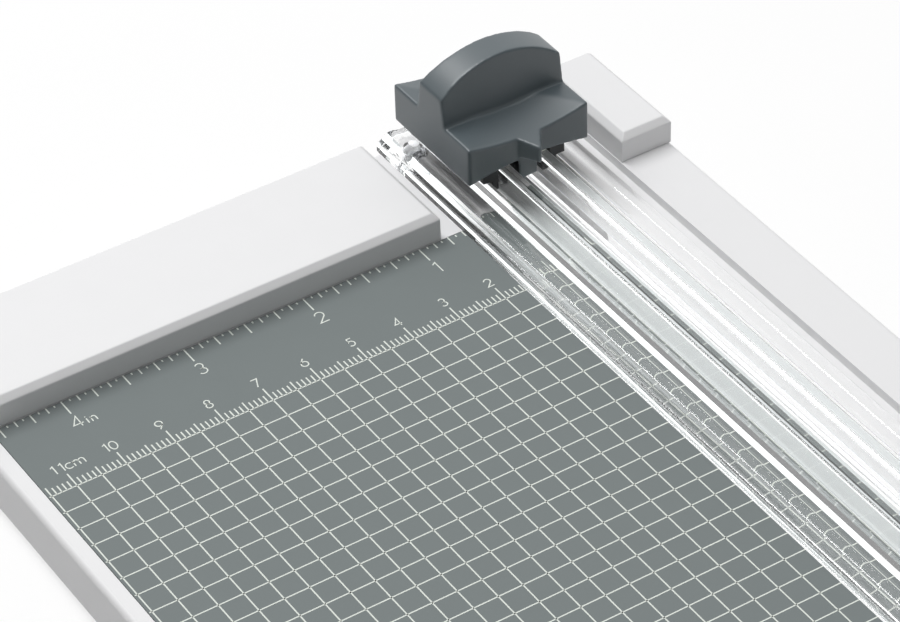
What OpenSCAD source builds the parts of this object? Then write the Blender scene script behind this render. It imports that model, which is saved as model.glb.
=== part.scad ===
// Desk paper trimmer: a round blade in a head that slides along a clear clamping rail.
// In every module x = 0 is the cut line, y = 0 the fence's front face and z = 0 the top
// of the measuring plate. placed() then moves the origin to the middle of the feet's plane.

/* [Base] */
// Cut line to the measuring plate's left edge
plate_reach = 115.7; // [80:0.1:320]
// How far the head travels along the rail
head_travel = 330; // [200:1:700]
// Height of the base under the plate's top, without feet
base_h = 10.6; // [10:0.1:16]
// Width of the rim left of the plate
rim_w = 3.5; // [3:0.1:10]
// Width of the strip right of the channel
right_strip_w = 11.9; // [10:0.1:30]
// Rim top down to the underside of the deck
deck_t = 4.2; // [4:0.1:5]
// Thickness of the side walls
wall_t = 2.2; // [1.6:0.1:3]
// Radius of the base's corners seen from above
base_corner_r = 4; // [2:0.1:6]
// Radius of the base's top edges
base_edge_r = 1.2; // [0.6:0.1:1.8]
// Thickness of the ribs under the deck
rib_t = 1.6; // [1.2:0.1:2.4]
// Most space between ribs
rib_pitch = 55; // [35:1:90]
// Thickness of the bottom cover
cover_t = 1.6; // [1.2:0.1:2]
// Diameter of a foot
foot_d = 12; // [8:0.5:16]
// Height of a foot below the cover
foot_h = 1.5; // [1:0.1:4]
// Base side to the middle of a foot
foot_inset = 15; // [14:0.5:30]
// Base end to the middle of a foot
foot_end_inset = 32; // [30:0.5:60]

/* [Measuring plate and cutting strip] */
// Thickness of the measuring plate
plate_t = 1.2; // [0.8:0.1:1.6]
// Apron from the plate's near edge to the slot's near end
plate_apron = 4; // [2:0.5:20]
// Width of the cutting strip
strip_w = 9.6; // [7:0.1:14]
// Thickness of the cutting strip
strip_t = 1.9; // [1:0.1:1.9]
// Depth of the channel below the rim's top
channel_d = 2; // [2:0.1:2.4]
// Cut line to the channel's right wall
channel_reach = 20.8; // [19:0.1:28]

/* [Fence and end block] */
// Depth of the fence bar, front to back
fence_depth = 27.6; // [24:0.1:40]
// Height of the fence and the end block above the plate
fence_h = 6.1; // [5:0.1:9]
// Width of the sloped top edges
fence_bevel = 1.25; // [0.6:0.05:2]
// Cut line to the fence bar's right end
fence_reach = 20.3; // [18:0.1:26]
// Gap between the end block and the channel wall
block_inset = 0.15; // [0:0.05:1]
// Thickness of their walls
fence_wall = 1.8; // [1.4:0.1:2.4]
// Lip of the base behind the fence
back_lip = 1.5; // [1:0.1:4]

/* [Clear rail] */
// Half of the rail's width
rail_half = 16.2; // [16:0.1:18]
// Gap between the rail and the plate at rest
rail_gap = 0.8; // [0.5:0.05:1.6]
// How far the rail is pressed down
rail_press = 0.75; // [0.4:0.05:1.5]
// Half of the slot's width
slot_half = 2.9; // [2.8:0.05:3.2]
// Thickness of one ridge
ridge_t = 2.6; // [2:0.1:2.7]
// Height of the ridges
ridge_h = 7.8; // [7.4:0.1:9]
// Thickness of the web outside the ridges
web_t = 2.4; // [2:0.1:2.8]
// Cut line to the groove's outer side
groove_reach = 7.6; // [7.5:0.05:7.9]
// Cut line to the outer foot of the shoulder beside the groove
shoulder_reach = 9.95; // [9.6:0.05:10.2]
// Height of the shoulder
shoulder_h = 5.5; // [5:0.1:5.8]
// Height of the flat crest
crest_h = 3.2; // [2.9:0.1:3.6]
// Height of the rail's outer edge
edge_h = 1.35; // [1:0.05:1.6]
// Rail's outer edge to the knee in its flank
knee_in = 0.7; // [0.5:0.05:0.9]
// Height of the knee
knee_h = 2.35; // [2:0.05:2.6]
// Rail's outer edge to the brow where the bead begins
brow_in = 2.4; // [2.1:0.05:2.6]
// Height of the brow
brow_h = 3.5; // [3.3:0.05:3.8]
// Width of the bead
bead_w = 1.6; // [1.2:0.05:1.8]
// Small radius of the ridge tops
ridge_edge_r = 0.5; // [0.2:0.05:0.8]
// Clear plastic past the slot at the far end
far_bridge = 2.9; // [2.5:0.1:8]
// Clear plastic past the slot at the near end
near_bridge = 15.3; // [12:0.1:24]
// Gap between the rail's ends and the base's ends
rail_end_gap = 0.4; // [0.2:0.1:2]
// Bumper in each end of the slot
bumper_t = 1; // [0.6:0.1:2]

/* [Cutter head] */
// Length of the head along the rail
head_l = 26; // [25:0.1:32]
// Half of the head's width
head_half = 13.5; // [13.2:0.1:16]
// Height of the skirt's lower edge above the plate
skirt_z = 8.9; // [8.8:0.05:9.1]
// Height of the thumb ledges at the head's sides
ledge_z = 17.4; // [17:0.1:20]
// How far the scooped ledge dips at the middle of its outer edge
scoop_dip = 1.8; // [1:0.1:2]
// How far it dips at the foot of the fin
scoop_inner_dip = 0.4; // [0.1:0.1:0.8]
// Thickness of the fin at its foot
fin_foot_t = 9.4; // [8.8:0.1:11]
// Thickness of the fin at its top
fin_top_t = 5.8; // [5.4:0.1:7]
// Height of the fin's straight sides
fin_side_z = 23.3; // [22.9:0.1:26]
// Height of the fin's crown
fin_top_z = 28.3; // [27.5:0.1:34]
// Thickness of the shell
shell_t = 1.6; // [1.2:0.1:1.8]
// How far the nose stands out in front
nose_l = 3.9; // [2:0.1:4.5]
// Half of the nose's width
nose_half = 2.6; // [2:0.1:4]
// How far the head is pressed down on its carriage
head_press = 1.2; // [0.8:0.1:1.4]

/* [Blade] */
// Radius of the round blade
blade_r = 6.5; // [6:0.1:6.6]
// Thickness of the blade
blade_t = 0.3; // [0.2:0.05:0.5]
// Height of the blade's edge above the plate at rest
blade_rest_z = 1.9; // [1.9:0.1:2.2]
// Half of the blade cartridge's width
cartridge_half = 2.4; // [2.2:0.05:2.5]
// Length of the cartridge's foot in the slot
foot_l = 23.2; // [23:0.1:24]
// Diameter of the blade's axle
axle_d = 2; // [1.6:0.1:2.2]

/* [Fasteners and springs] */
// Shank diameter of the case screws
screw_d = 2.9; // [2.5:0.1:3]
// Head diameter of the case screws
screw_head_d = 5.6; // [5:0.1:6]
// Head height of the case screws
screw_head_h = 1.6; // [1.2:0.1:2]
// Shoulder diameter of the rail's guide screws
guide_d = 3; // [2.8:0.1:3.2]
// Wire of the rail's springs
rail_spring_wire = 0.6; // [0.4:0.05:0.6]
// Turns of one rail spring
rail_spring_turns = 4; // [3:1:4]
// Wire of the head's springs
head_spring_wire = 0.5; // [0.4:0.05:0.55]
// Turns of one head spring
head_spring_turns = 6; // [4:1:6]

/* [Hidden] */
$fn = 64;

// Fits and small gaps
cut = 1;               // overrun of a cut past a face
seat_gap = 0.1;        // around pieces that drop into a recess
strip_gap = 0.2;       // between the cutting strip and the measuring plate
fit_gap = 0.03;        // radial gap of pins and screw threads
guide_gap = 0.06;      // radial gap of the guide screws in the housing
slide_gap = 0.3;       // between the sliding head and the rail
rest_gap = 0.05;       // between faces that part when something moves

// Places across the base
strip_half = strip_w / 2;
plate_x1 = -strip_half - strip_gap;
base_x0 = -plate_reach - seat_gap - rim_w;
base_x1 = channel_reach + right_strip_w;

// Places along the base
head_y0 = 0.4;                                    // head's front face behind the fence's face
head_mid_y = head_y0 + head_l / 2;
head_y1 = head_y0 + head_l;
foot_y0 = head_mid_y - foot_l / 2;
foot_y1 = head_mid_y + foot_l / 2;
bumper_gap = 0.2;
slot_y1 = foot_y1 + bumper_gap + bumper_t;
slot_y0 = foot_y0 - head_travel - bumper_gap - bumper_t;
rail_y0 = slot_y0 - near_bridge;
base_y1 = max(slot_y1 + far_bridge + rail_end_gap, fence_depth + back_lip);
rail_y1 = base_y1 - rail_end_gap;
base_y0 = rail_y0 - rail_end_gap;
plate_y0 = slot_y0 + plate_apron;
channel_over = 1;
channel_y0 = slot_y0 - channel_over;
channel_y1 = slot_y1 + channel_over;
origin_x = (base_x0 + base_x1) / 2;
origin_y = (base_y0 + base_y1) / 2;

// Screw bosses
boss_wall = 1.9;
boss_d = screw_d + 2 * boss_wall;
boss_clear = 1.3;      // between a boss and the side wall
thread_depth = 0.2;
thread_d = screw_d - 2 * thread_depth;
thread_l = 3.6;
sink_h = (screw_head_d - screw_d) / 2;
shank_gap = 0.15;
recess_l_share = 0.55;
recess_w_share = 0.12;
recess_depth_share = 0.13;
guide_recess_depth_share = 0.091;
head_gap = 0.3;        // radial gap around a screw's head in its well
cover_screw_inset = wall_t + boss_clear + boss_d / 2;
cover_screw_shares = [0.035, 0.5, 0.965];
fence_screw_shares = [0.08, 0.5, 0.92];
block_screw_shares = [0.22, 0.78];
cover_screw_places = [
    for (x = [base_x0 + cover_screw_inset, base_x1 - cover_screw_inset])
    for (share = cover_screw_shares)
    [x, base_y0 + share * (base_y1 - base_y0)]
];
fence_screw_places = [
    for (share = fence_screw_shares)
    [base_x0 + share * (-fence_reach - base_x0), fence_depth / 2]
];
block_x0 = channel_reach + block_inset;
block_x1 = base_x1 - block_inset;
block_screw_places = [
    for (share = block_screw_shares) [(block_x0 + block_x1) / 2, share * fence_depth]
];
foot_places = [
    for (x = [base_x0 + foot_inset, base_x1 - foot_inset])
    for (y = [base_y0 + foot_end_inset, base_y1 - foot_end_inset])
    [x, y]
];
foot_stem_d = 5;

// Rail guides and springs
guide_out = 1.1;       // shoulder's outer foot to the middle of a guide screw
guide_end_in = 2.2;    // slot's far end to the middle of the far guide screws
guide_x = shoulder_reach + guide_out;
guide_far_y = slot_y1 - guide_end_in;
guide_near_y = rail_y0 + near_bridge / 2;
guide_places = [for (x = [-guide_x, guide_x]) for (y = [guide_near_y, guide_far_y]) [x, y]];
guide_boss_d = 9;
guide_head_h = 1.4;
guide_head_room = 0.5;
guide_floor_t = 2;
guide_boss_z = -base_h + cover_t + guide_head_room + rail_press + guide_head_h + rest_gap;
spring_pocket_z = guide_boss_z + guide_floor_t;
guide_thread_d = 2.4;
guide_cover_t = 0.7;   // plastic left over the tip of a guide screw
guide_thread_l = crest_h - guide_cover_t;
guide_tip_gap = 0.2;
rail_spring_room = 0.4;
rail_spring_r = guide_d / 2 + rail_spring_wire / 2 + rail_spring_room;
rail_spring_pocket_d = 2 * rail_spring_r + rail_spring_wire + 2 * rail_spring_room;
rail_spring_l = rail_gap - spring_pocket_z;

// Round runs in the rail's section: how far each turns, in degrees
knee_turn = 27;
flank_turn = 2.4;
bead_turn = 53;
valley_turn = -19;
valley_w = 1;
shoulder_turn = 31;
shoulder_top_w = 0.65;
shoulder_cap_w = 0.65;
shoulder_cap_h = 0.4;
shoulder_cap_turn = 5;
run_steps = 6;

// Carriage
ridge_top_z = rail_gap + ridge_h;
ridge_reach = slot_half + ridge_t;
pad_z0 = ridge_top_z + rest_gap;
pad_t = 0.55;
saddle_z0 = pad_z0 + pad_t;
saddle_t = 2.3;
saddle_z1 = saddle_z0 + saddle_t;
carriage_side_gap = 0.5;
carriage_end_gap = 0.2;
carriage_half = head_half - shell_t - carriage_side_gap;
carriage_y0 = head_y0 + shell_t + carriage_end_gap;
carriage_y1 = head_y1 - shell_t - carriage_end_gap;
leg_x0 = ridge_reach + slide_gap;
leg_t = 1.4;
leg_x1 = leg_x0 + leg_t;
leg_clear = 1;         // web up to the lower end of a leg
leg_z0 = rail_gap + web_t + leg_clear;
leg_shelf_z = rail_gap + shoulder_h + slide_gap;
saddle_over = 2;       // saddle past the legs
saddle_half = leg_x1 + saddle_over;
lip_t = 1.2;
lip_z1 = skirt_z + lip_t;
flange_z0 = lip_z1 + rest_gap;
lip_gap = 0.4;
lip_x0 = saddle_half + lip_gap;
window_half = cartridge_half + slide_gap;
window_wall = 1.6;
spring_post_x = 7.5;
spring_post_d = 2.4;
spring_post_h = 3.5;
head_spring_room = 0.35;
head_spring_r = spring_post_d / 2 + head_spring_wire / 2 + head_spring_room;
head_spring_l = 7;

// Blade cartridge
axle_z = blade_rest_z + blade_r;
blade_show = 1.5;      // how far the blade's edge stands out below the foot
foot_z0 = blade_rest_z + blade_show;
foot_chamfer_h = 1.5;
foot_chamfer_l = 2.2;
foot_front_z = foot_z0 + foot_chamfer_h;
foot_top_gap = 0.4;
foot_z1 = saddle_z0 - foot_top_gap;
neck_gap = 0.2;
neck_y0 = carriage_y0 + window_wall + neck_gap;
neck_y1 = carriage_y1 - window_wall - neck_gap;
neck_z1 = 11;
arch_wall = 0.7;
arch_r = blade_r + arch_wall;
blade_room = 0.3;
blade_pocket_r = blade_r + blade_room;
blade_side_gap = 0.1;
blade_pocket_t = blade_t / 2 + blade_side_gap;
blade_bevel_w = 3 * blade_t;
axle_end_gap = 0.3;
axle_pocket_end_gap = 0.2;
hub_r = 2.5;
hub_half = 0.9;
hub_neck_r = 1.65;
hub_pocket_gap = 0.2;
cartridge_screw_d = 1.6;
cartridge_screw_head_d = 3;
cartridge_screw_head_h = 1;
cartridge_screw_inset = 1.3;
cartridge_screw_y = [neck_y0 + cartridge_screw_inset, neck_y1 - cartridge_screw_inset];
cartridge_screw_l = 11;

// Head shell
fin_arc_r = (head_half * head_half + pow(fin_top_z - fin_side_z, 2)) / (2 * (fin_top_z - fin_side_z));
fin_arc_z = fin_top_z - fin_arc_r;
fin_y0 = head_mid_y - fin_foot_t / 2;
scoop_run = fin_y0 - head_y0;
scoop_tilt = atan((scoop_dip - scoop_inner_dip) / scoop_run);
scoop_r = (head_half * head_half + scoop_dip * scoop_dip) / (2 * scoop_dip);
skirt_rise = 1.5;
skirt_arc_r = (head_half * head_half + skirt_rise * skirt_rise) / (2 * skirt_rise);
roof_z = 13.3;
roof_gap = 0.2;        // around the cartridge in the head's roof
roof_end_gap = 0.4;
roof_pocket_z = axle_z + arch_r + roof_gap;
roof_pocket_l = 2 * sqrt(arch_r * arch_r - pow(roof_z - axle_z, 2)) + 2 * roof_end_gap;
spring_seat_z = saddle_z1 + head_spring_l;
tab_x0 = -2.2;
tab_x1 = 1.9;
tab_lift = 1;          // cartridge's front edge up to the tab's lower edge
tab_z0 = foot_front_z + tab_lift;
tab_t = 0.7;
nose_tip_r = 0.5;

// Coils: sides of the wire and rings in a turn
wire_sides = 6;
rings_per_turn = 8;

// Moves the model so that the origin lies in the middle of the feet's plane
module placed() translate([-origin_x, -origin_y, base_h + foot_h]) children();

// Box between two corners
module block(low, high) translate(low) cube(high - low);

// Outline drawn in x and z, drawn out along y from y0 to y1
module along_y(y0, y1) translate([0, y1, 0]) rotate([90, 0, 0]) linear_extrude(y1 - y0) children();

// Outline drawn in y and z, drawn out along x from x0 to x1
module along_x(x0, x1) translate([x0, 0, 0]) rotate([90, 0, 90]) linear_extrude(x1 - x0) children();

// Round bar along z, and along x
module post(x, y, z0, z1, d) translate([x, y, z0]) cylinder(h = z1 - z0, d = d);
module bar_x(x0, x1, y, z, r) translate([x0, y, z]) rotate([0, 90, 0]) cylinder(h = x1 - x0, r = r);

// Rectangle with all corners round
module round_outline(low, high, r) {
    translate([low.x + r, low.y]) square([high.x - low.x - 2 * r, high.y - low.y]);
    translate([low.x, low.y + r]) square([high.x - low.x, high.y - low.y - 2 * r]);
    for (x = [low.x + r, high.x - r]) for (y = [low.y + r, high.y - r]) translate([x, y]) circle(r = r);
}

// Rectangle whose two upper corners are round
module round_top(low, high, r) {
    translate(low) square([high.x - low.x, high.y - low.y - r]);
    translate([low.x + r, low.y]) square([high.x - low.x - 2 * r, high.y - low.y]);
    for (x = [low.x + r, high.x - r]) translate([x, high.y - r]) circle(r = r);
}

// Rectangle whose two upper corners are cut off at 45 degrees
module bevel_top(low, high, b) polygon([
    low, [high.x, low.y], [high.x, high.y - b], [high.x - b, high.y],
    [low.x + b, high.y], [low.x, high.y - b]
]);

// White moulded shell: rim, plate recess, channel, ribs and bosses
module base_housing() color([0.94, 0.94, 0.94]) placed() difference() {
    union() {
        difference() {
            base_outer();
            block([base_x0 + wall_t, base_y0 + wall_t, -base_h - cut],
                  [base_x1 - wall_t, base_y1 - wall_t, -deck_t]);
        }
        base_ribs();
        for (p = cover_screw_places) post(p.x, p.y, -base_h + cover_t, -deck_t + cut, boss_d);
        for (p = guide_places) post(p.x, p.y, guide_boss_z, -deck_t + cut, guide_boss_d);
    }
    block([-plate_reach - seat_gap, plate_y0 - seat_gap, -plate_t], [plate_x1 + seat_gap, 0, cut]);
    block([plate_x1 + seat_gap, channel_y0, -channel_d], [channel_reach, channel_y1, cut]);
    for (p = cover_screw_places) post(p.x, p.y, -base_h, -base_h + cover_t + thread_l, thread_d + 2 * fit_gap);
    for (p = concat(fence_screw_places, block_screw_places)) {
        post(p.x, p.y, -deck_t - cut, cut, screw_d + 2 * shank_gap);
        post(p.x, p.y, -base_h, -deck_t, screw_head_d + 2 * head_gap);
    }
    for (p = guide_places) {
        post(p.x, p.y, -base_h, cut, guide_d + 2 * guide_gap);
        post(p.x, p.y, -base_h, guide_boss_z, screw_head_d + 2 * head_gap);
        post(p.x, p.y, spring_pocket_z, cut, rail_spring_pocket_d);
    }
}

// Outer form of the base, with round corners and top edges
module base_outer() intersection() {
    translate([0, 0, -base_h]) linear_extrude(base_h)
        round_outline([base_x0, base_y0], [base_x1, base_y1], base_corner_r);
    along_y(base_y0 - cut, base_y1 + cut) round_top([base_x0, -base_h], [base_x1, 0], base_edge_r);
    along_x(base_x0 - cut, base_x1 + cut) round_top([base_y0, -base_h], [base_y1, 0], base_edge_r);
}

// Ribs under the deck, evenly spaced both ways
module base_ribs() {
    across = base_x1 - base_x0 - 2 * wall_t;
    along = base_y1 - base_y0 - 2 * wall_t;
    bays_x = ceil(across / rib_pitch);
    bays_y = ceil(along / rib_pitch);
    for (i = [1:1:bays_x - 1]) {
        x = base_x0 + wall_t + i * across / bays_x;
        block([x - rib_t / 2, base_y0 + wall_t / 2, -base_h + cover_t],
              [x + rib_t / 2, base_y1 - wall_t / 2, -deck_t + cut / 2]);
    }
    for (i = [1:1:bays_y - 1]) {
        y = base_y0 + wall_t + i * along / bays_y;
        block([base_x0 + wall_t / 2, y - rib_t / 2, -base_h + cover_t],
              [base_x1 - wall_t / 2, y + rib_t / 2, -deck_t + cut / 2]);
    }
}

// Plate that closes the underside
module bottom_cover() color([0.86, 0.86, 0.87]) placed() difference() {
    block([base_x0 + wall_t + seat_gap, base_y0 + wall_t + seat_gap, -base_h],
          [base_x1 - wall_t - seat_gap, base_y1 - wall_t - seat_gap, -base_h + cover_t]);
    for (p = cover_screw_places) {
        post(p.x, p.y, -base_h - cut, cut - base_h + cover_t, screw_d + 2 * shank_gap);
        translate([p.x, p.y, -base_h])
            cylinder(h = sink_h, d1 = screw_head_d + 2 * shank_gap, d2 = screw_d + 2 * shank_gap);
    }
    for (p = foot_places) post(p.x, p.y, -base_h - cut, cut - base_h + cover_t, foot_stem_d + 2 * fit_gap);
}

// Four rubber feet with stems in the cover
module rubber_feet() color([0.22, 0.22, 0.23]) placed() for (p = foot_places) {
    post(p.x, p.y, -base_h - foot_h, -base_h, foot_d);
    post(p.x, p.y, -base_h - foot_h / 2, -base_h + cover_t, foot_stem_d);
}

// Countersunk screws through the cover
module bottom_cover_screws() color([0.7, 0.71, 0.73]) placed() for (p = cover_screw_places) difference() {
    union() {
        translate([p.x, p.y, -base_h]) cylinder(h = sink_h, d1 = screw_head_d, d2 = screw_d);
        post(p.x, p.y, -base_h + sink_h / 2, -base_h + cover_t, screw_d);
        post(p.x, p.y, -base_h + sink_h / 2, -base_h + cover_t + thread_l - cut / 2, thread_d);
    }
    cross_recess(p, -base_h, recess_depth_share);
}

// Cross recess cut upwards into a screw head from height z, with its depth as a share
module cross_recess(p, z, depth_share) {
    recess_l = recess_l_share * screw_head_d;
    recess_w = recess_w_share * screw_head_d;
    for (a = [0, 90]) translate([p.x, p.y, z]) rotate([0, 0, a])
        block([-recess_l / 2, -recess_w / 2, -cut / 2], [recess_l / 2, recess_w / 2, depth_share * screw_head_d]);
}

// Grey plate that carries the printed scales
module measuring_plate() color([0.5, 0.53, 0.53]) placed()
    block([-plate_reach, plate_y0, -plate_t], [plate_x1, -seat_gap, 0]);

// Pale strip that the blade rolls on
module cutting_strip() color([0.86, 0.89, 0.87]) placed()
    block([-strip_half, channel_y0 + seat_gap, -channel_d], [strip_half, channel_y1 - seat_gap, strip_t - channel_d]);

// Outer form of the fence bar or the end block between two places along x
module fence_form(x0, x1) intersection() {
    along_x(x0 - cut, x1 + cut) bevel_top([0, 0], [fence_depth, fence_h], fence_bevel);
    along_y(-cut, fence_depth + cut) bevel_top([x0, 0], [x1, fence_h], fence_bevel);
}

// Hollow moulding on the deck with a boss over each screw
module fence_moulding(x0, x1, places) difference() {
    union() {
        difference() {
            fence_form(x0, x1);
            block([x0 + fence_wall, fence_wall, -cut],
                  [x1 - fence_wall, fence_depth - fence_wall, fence_h - fence_wall]);
        }
        for (p = places) post(p.x, p.y, 0, fence_h - fence_wall / 2, boss_d);
    }
    for (p = places) post(p.x, p.y, -cut, thread_l, thread_d + 2 * fit_gap);
}

// White stop bar across the far end
module fence_bar() color([0.94, 0.94, 0.94]) placed() fence_moulding(base_x0, -fence_reach, fence_screw_places);

// Small white block right of the rail
module right_end_block() color([0.94, 0.94, 0.94]) placed() fence_moulding(block_x0, block_x1, block_screw_places);

// Pan-head screws from below the deck
module deck_screws(places) for (p = places) difference() {
    union() {
        post(p.x, p.y, -deck_t - screw_head_h, -deck_t, screw_head_d);
        post(p.x, p.y, -deck_t - screw_head_h / 2, 0, screw_d);
        post(p.x, p.y, -deck_t, thread_l - cut / 2, thread_d);
    }
    cross_recess(p, -deck_t - screw_head_h, recess_depth_share);
}
module fence_screws() color([0.7, 0.71, 0.73]) placed() deck_screws(fence_screw_places);
module end_block_screws() color([0.7, 0.71, 0.73]) placed() deck_screws(block_screw_places);

// Centre of the wire at a share of a coil that stands on z = 0
function coil_point(t, turns, r, wire, height) = [
    r * cos(360 * turns * t), r * sin(360 * turns * t), wire / 2 + t * (height - wire)
];

// Least gap between neighbouring turns, measured between points of the centre line
function coil_gap(turns, r, wire, height) = let(
    steps = turns * rings_per_turn,
    points = [for (i = [0:steps]) coil_point(i / steps, turns, r, wire, height)]
) min([
    for (i = [0:steps - rings_per_turn / 2])
    for (j = [i + rings_per_turn / 2:1:steps])
    norm(points[i] - points[j])
]) - wire;

// Round wire wound into a spring that stands on z = 0
module coil(turns, r, wire, height) {
    steps = turns * rings_per_turn;
    rise = atan((height - wire) / (2 * PI * r * turns));
    rings = [
        for (i = [0:steps]) let(a = 360 * i / rings_per_turn, c = coil_point(i / steps, turns, r, wire, height))
        for (k = [0:wire_sides - 1]) let(b = 360 * k / wire_sides)
        c + wire / 2 * (cos(b) * [cos(a), sin(a), 0]
            + sin(b) * [sin(rise) * sin(a), -sin(rise) * cos(a), cos(rise)])
    ];
    sides = [
        for (i = [0:steps - 1]) for (k = [0:wire_sides - 1])
        let(n = (k + 1) % wire_sides, p = i * wire_sides, q = p + wire_sides)
        each [[p + k, q + n, p + n], [p + k, q + k, q + n]]
    ];
    first = [for (k = [0:wire_sides - 1]) k];
    last = [for (k = [wire_sides - 1:-1:0]) steps * wire_sides + k];
    polyhedron(rings, concat(sides, [first, last]));
}

// Springs that lift the rail, around its guide screws
module rail_lift_springs() color([0.75, 0.76, 0.78]) placed() for (p = guide_places)
    translate([p.x, p.y, spring_pocket_z]) coil(rail_spring_turns, rail_spring_r, rail_spring_wire, rail_spring_l);
echo(rail_spring_gap = coil_gap(rail_spring_turns, rail_spring_r, rail_spring_wire, rail_spring_l));

// Points after p up to q, on a round run that turns by an angle
function run(p, q, turn) = let(c = q - p, way = atan2(c.y, c.x)) [
    for (i = [1:run_steps]) let(a = turn * i / run_steps / 2)
    p + norm(c) * sin(a) / sin(turn / 2) * [cos(way - turn / 2 + a), sin(way - turn / 2 + a)]
];

// Right half of the rail's section from its edge to the slot; z = 0 at its underside
edge_top = [rail_half, edge_h];
knee = [rail_half - knee_in, knee_h];
brow = [rail_half - brow_in, brow_h];
bead_end = brow - [bead_w, 0];
crest_end = [bead_end.x - valley_w, crest_h];
shoulder_foot = [shoulder_reach, crest_h];
shoulder_top = [groove_reach + shoulder_top_w, shoulder_h];
shoulder_cap = shoulder_top + [shoulder_cap_w, -shoulder_cap_h];
module rail_half_section() polygon(concat(
    [[slot_half, 0], [rail_half, 0], edge_top],
    run(edge_top, knee, knee_turn), run(knee, brow, flank_turn), run(brow, bead_end, bead_turn),
    run(bead_end, crest_end, valley_turn), [shoulder_foot],
    run(shoulder_foot, shoulder_cap, shoulder_turn), run(shoulder_cap, shoulder_top, shoulder_cap_turn),
    [[groove_reach, shoulder_h], [groove_reach, web_t], [ridge_reach, web_t], [ridge_reach, ridge_h - ridge_edge_r]],
    run([ridge_reach, ridge_h - ridge_edge_r], [ridge_reach - ridge_edge_r, ridge_h], 90),
    [[slot_half + ridge_edge_r, ridge_h]],
    run([slot_half + ridge_edge_r, ridge_h], [slot_half, ridge_h - ridge_edge_r], 90)
));

// Closed section past the slot's ends
module bridge_section() for (s = [0, 1]) mirror([s, 0]) {
    translate([-cut, 0]) square([groove_reach + 2 * cut, crest_h]);
    rail_half_section();
}

// Clear rail: ridges and shoulders beside the slot, flanges with a bead, a bridge at each end
module clamp_rail() color([0.85, 0.9, 0.92, 0.5]) placed() translate([0, 0, rail_gap]) difference() {
    union() {
        for (s = [0, 1]) mirror([s, 0, 0]) along_y(slot_y0 - cut, slot_y1 + cut) rail_half_section();
        along_y(slot_y1, rail_y1) bridge_section();
        along_y(rail_y0, slot_y0) bridge_section();
    }
    for (p = guide_places) post(p.x, p.y, -cut, guide_thread_l, guide_thread_d + 2 * fit_gap);
}

// Shoulder screws that guide the rail and hold it down at rest
module rail_guide_screws() color([0.7, 0.71, 0.73]) placed() for (p = guide_places) difference() {
    union() {
        post(p.x, p.y, guide_boss_z - rest_gap - guide_head_h, guide_boss_z - rest_gap, screw_head_d);
        post(p.x, p.y, guide_boss_z - guide_head_h / 2, rail_gap, guide_d);
        post(p.x, p.y, 0, rail_gap + guide_thread_l - guide_tip_gap, guide_thread_d);
    }
    cross_recess(p, guide_boss_z - rest_gap - guide_head_h, guide_recess_depth_share);
}

// Rubber bumpers that stop the head at both ends of the slot
module slot_end_bumpers() color([0.2, 0.2, 0.21]) placed() for (y = [slot_y0, slot_y1 - bumper_t])
    block([-slot_half + seat_gap, y, rail_gap + seat_gap],
          [slot_half - seat_gap, y + bumper_t, rail_gap + crest_h - seat_gap]);

// Black saddle on the ridges, with legs in the grooves and a window for the cartridge
module carriage() color([0.1, 0.1, 0.11]) placed() {
    difference() {
        union() {
            block([-saddle_half, carriage_y0, saddle_z0], [saddle_half, carriage_y1, saddle_z1]);
            block([-carriage_half, carriage_y0 + window_wall, flange_z0],
                  [carriage_half, carriage_y1 - window_wall, saddle_z1]);
            for (s = [0, 1]) mirror([s, 0, 0]) {
                block([leg_x0, carriage_y0, leg_z0], [leg_x1, carriage_y1, saddle_z0 + cut / 2]);
                block([leg_x0, carriage_y0, leg_shelf_z], [saddle_half, carriage_y1, saddle_z0 + cut / 2]);
            }
        }
        block([-window_half, carriage_y0 + window_wall, saddle_z0 - cut],
              [window_half, carriage_y1 - window_wall, saddle_z1 + cut]);
    }
    for (s = [-1, 1]) post(s * spring_post_x, head_mid_y, saddle_z1 - cut / 2, saddle_z1 + spring_post_h, spring_post_d);
}

// Slippery pads between the saddle and the ridges
module glide_pads() color([0.9, 0.9, 0.86]) placed() for (s = [0, 1]) mirror([s, 0, 0])
    block([slot_half + slide_gap, carriage_y0 + seat_gap, pad_z0],
          [ridge_reach - ridge_edge_r, carriage_y1 - seat_gap, saddle_z0]);

// Springs between the carriage and the head shell
module head_springs() color([0.75, 0.76, 0.78]) placed() for (s = [-1, 1])
    translate([s * spring_post_x, head_mid_y, saddle_z1])
        coil(head_spring_turns, head_spring_r, head_spring_wire, head_spring_l);
echo(head_spring_gap = coil_gap(head_spring_turns, head_spring_r, head_spring_wire, head_spring_l));

// Fin outline across the head, with its upper edge an arc
module fin_front(half, arc_r, z0) intersection() {
    translate([-half, z0]) square([2 * half, fin_top_z]);
    translate([0, fin_arc_z]) circle(r = arc_r, $fn = 128);
}

// The fin from the side: upright up to the ledges, then thinner towards its top
module fin_side(wall, z0) {
    foot = fin_foot_t / 2 - wall;
    top = fin_top_t / 2 - wall;
    polygon([
        [head_mid_y - foot, z0], [head_mid_y + foot, z0], [head_mid_y + foot, ledge_z],
        [head_mid_y + top, fin_top_z + cut], [head_mid_y - top, fin_top_z + cut], [head_mid_y - foot, ledge_z]
    ]);
}

// Outer form of the head
module head_form() {
    difference() {
        union() {
            block([-head_half, head_y0, skirt_z], [head_half, head_y1, ledge_z]);
            nose();
        }
        for (s = [0, 1]) translate([0, head_mid_y, 0]) mirror([0, s, 0]) translate([0, -head_mid_y, 0]) scoop();
    }
    intersection() {
        along_y(fin_y0 - cut, fin_y0 + fin_foot_t + cut) fin_front(head_half, fin_arc_r, ledge_z - cut);
        along_x(-head_half - cut, head_half + cut) fin_side(0, ledge_z - cut);
    }
}

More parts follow.
